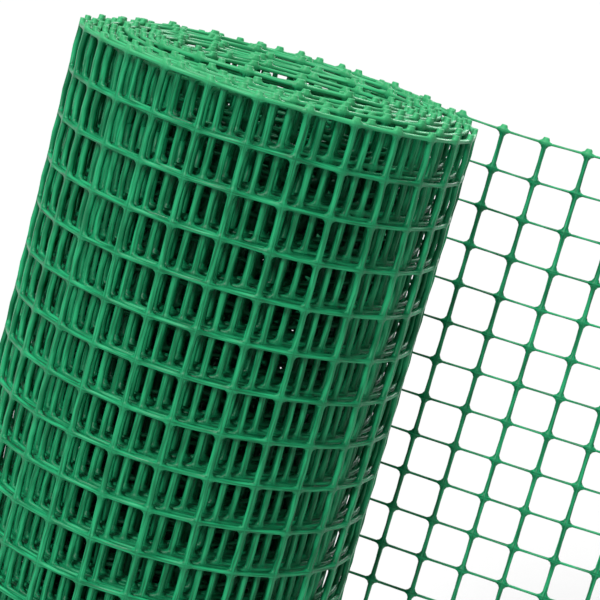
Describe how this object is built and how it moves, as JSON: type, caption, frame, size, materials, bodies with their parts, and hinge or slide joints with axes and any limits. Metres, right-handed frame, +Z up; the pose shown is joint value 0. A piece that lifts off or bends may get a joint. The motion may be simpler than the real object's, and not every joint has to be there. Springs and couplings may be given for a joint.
{
  "type": "roll of square plastic mesh fencing with its outer end unrolled",
  "caption": "Roll of green square plastic mesh fencing standing on its end, wound round an open core, with the outer end of the net unrolled straight beside it.",
  "frame": {"origin": "on the surface that the part stands on, under the middle of its whole outline", "axes": "+Z up along the roll's axis; +X along the loose end, away from the roll; +Y towards the roll's back, where the net leaves it"},
  "size_m": [0.3552, 0.1858, 0.5056],
  "materials": {
    "net_plastic": "mid green drawn polyethylene with a satin gloss, smooth along the strands and a little duller on the nodes"
  },
  "bodies": {
    "root": {"roll": "net_plastic", "loose_end": "net_plastic"}
  },
  "joints": []
}
